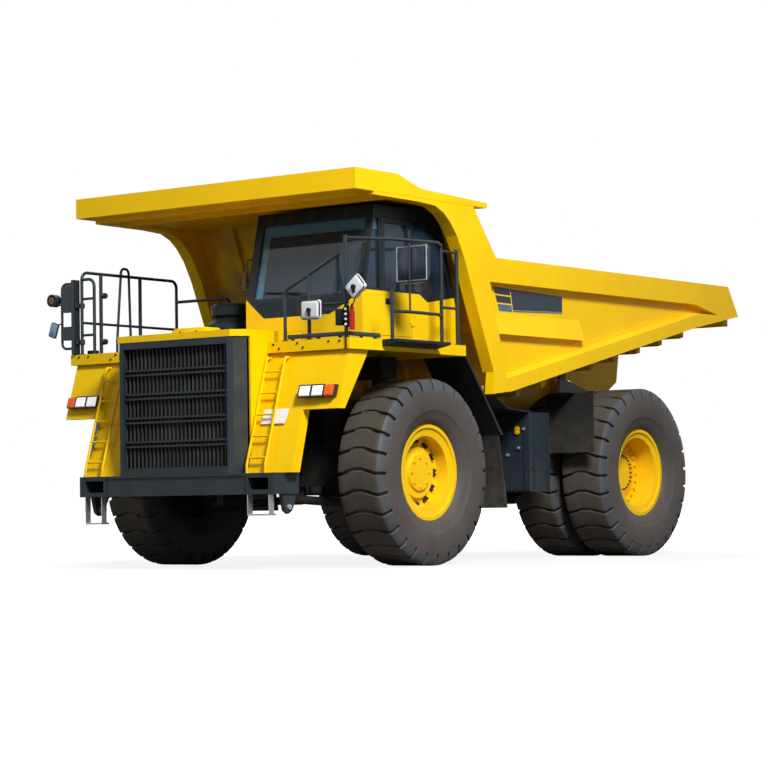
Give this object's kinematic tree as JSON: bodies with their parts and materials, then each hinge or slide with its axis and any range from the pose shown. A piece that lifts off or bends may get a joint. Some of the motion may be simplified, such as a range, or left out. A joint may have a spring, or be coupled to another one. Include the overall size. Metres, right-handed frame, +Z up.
{
  "type": "rigid mining dump truck",
  "caption": "Rigid two-axle mining dump truck with a canopied tipping bed, left-hand cab, steered front wheels and twin rear wheels.",
  "frame": {"origin": "on the ground, under the centre of the machine's bounding box", "axes": "+X to the truck's left, -Y to its front, +Z up"},
  "size_m": [4.9154, 9.212, 4.385],
  "materials": {
    "yellow_paint": "gloss yellow paint",
    "dark_paint": "dark blue-black paint",
    "tyre": "worn rubber",
    "glass": "tinted glass",
    "bare_steel": "zinc plated steel",
    "chrome": "bright hoist rod",
    "rubber": "flap rubber",
    "cloth": "seat cloth",
    "lamp": "clear lamp lens",
    "iron": "painted castings"
  },
  "bodies": {
    "chassis": {"frame": "dark_paint", "front_bumper": "dark_paint", "hood": "yellow_paint", "grille": "dark_paint", "radiator": "dark_paint", "engine": "iron", "driveline": "dark_paint", "deck": "yellow_paint", "fenders": "yellow_paint", "mudguards": "dark_paint", "cab": "dark_paint", "cab_glass": "glass", "cab_seat": "cloth", "ladders": "yellow_paint", "entry_steps": "bare_steel", "handrails": "dark_paint", "lamps": "lamp", "air_intake": "dark_paint", "fuel_tank": "dark_paint", "hydraulic_tank": "dark_paint", "front_arms": "dark_paint", "rear_axle": "iron", "rear_suspension": "dark_paint", "mirrors": "dark_paint"},
    "knuckle_left": {"knuckle_left": "dark_paint"},
    "knuckle_right": {"knuckle_right": "dark_paint"},
    "front_wheel_left": {"front_rim_left": "yellow_paint", "front_tyre_left": "tyre"},
    "front_wheel_right": {"front_rim_right": "yellow_paint", "front_tyre_right": "tyre"},
    "rear_wheels_left": {"rear_rim_left": "yellow_paint", "rear_tyres_left": "tyre"},
    "rear_wheels_right": {"rear_rim_right": "yellow_paint", "rear_tyres_right": "tyre"},
    "bed": {"bed_floor": "yellow_paint", "bed_sides": "yellow_paint", "bed_front": "yellow_paint", "bed_canopy": "yellow_paint", "bed_underframe": "yellow_paint", "rear_flaps": "rubber"},
    "hoist_barrel_left": {"hoist_barrel_left": "dark_paint"},
    "hoist_barrel_right": {"hoist_barrel_right": "dark_paint"},
    "hoist_rod_left": {"hoist_rod_left": "chrome"},
    "hoist_rod_right": {"hoist_rod_right": "chrome"},
    "cab_door": {"cab_door": "dark_paint", "door_glass": "glass"}
  },
  "joints": [
    {"name": "steer_left", "type": "hinge", "parent": "chassis", "child": "knuckle_left", "pos_m": [1.3, -2.49, 1.06], "axis": [0, 0, 1], "range_deg": [-38, 38]},
    {"name": "front_spin_left", "type": "hinge", "parent": "knuckle_left", "child": "front_wheel_left", "pos_m": [1.757, -2.49, 1.06], "axis": [1, 0, 0], "continuous": true},
    {"name": "rear_spin_left", "type": "hinge", "parent": "chassis", "child": "rear_wheels_left", "pos_m": [1.579, 1.81, 1.06], "axis": [1, 0, 0], "continuous": true},
    {"name": "steer_right", "type": "hinge", "parent": "chassis", "child": "knuckle_right", "pos_m": [-1.3, -2.49, 1.06], "axis": [0, 0, 1], "range_deg": [-38, 38]},
    {"name": "front_spin_right", "type": "hinge", "parent": "knuckle_right", "child": "front_wheel_right", "pos_m": [-1.757, -2.49, 1.06], "axis": [1, 0, 0], "continuous": true},
    {"name": "rear_spin_right", "type": "hinge", "parent": "chassis", "child": "rear_wheels_right", "pos_m": [-1.579, 1.81, 1.06], "axis": [1, 0, 0], "continuous": true},
    {"name": "bed_tip", "type": "hinge", "parent": "chassis", "child": "bed", "pos_m": [0, 2.76, 1.75], "axis": [-1, 0, 0], "range_deg": [0, 48]},
    {"name": "hoist_foot_left", "type": "hinge", "parent": "chassis", "child": "hoist_barrel_left", "pos_m": [0.735, 0.885, 0.87], "axis": [-1, 0, 0], "range_deg": [0, 4.8]},
    {"name": "hoist_slide_left", "type": "slide", "parent": "hoist_barrel_left", "child": "hoist_rod_left", "axis": [0, 0.7336, 0.6796], "range_m": [-0.005, 0.515]},
    {"name": "hoist_foot_right", "type": "hinge", "parent": "chassis", "child": "hoist_barrel_right", "pos_m": [-0.735, 0.885, 0.87], "axis": [-1, 0, 0], "range_deg": [0, 4.8]},
    {"name": "hoist_slide_right", "type": "slide", "parent": "hoist_barrel_right", "child": "hoist_rod_right", "axis": [0, 0.7336, 0.6796], "range_m": [-0.005, 0.515]},
    {"name": "cab_door_hinge", "type": "hinge", "parent": "chassis", "child": "cab_door", "pos_m": [1.771, -2.49, 3.3], "axis": [0, 0, 1], "range_deg": [0, 55]}
  ],
  "couplings": [
    {"joint": "steer_right", "follows": "steer_left", "ratio": 1},
    {"joint": "hoist_foot_left", "follows": "bed_tip", "ratio": 0.0787},
    {"joint": "hoist_slide_left", "follows": "bed_tip", "m_per_rad": 0.60319},
    {"joint": "hoist_foot_right", "follows": "bed_tip", "ratio": 0.0787},
    {"joint": "hoist_slide_right", "follows": "bed_tip", "m_per_rad": 0.60319}
  ]
}
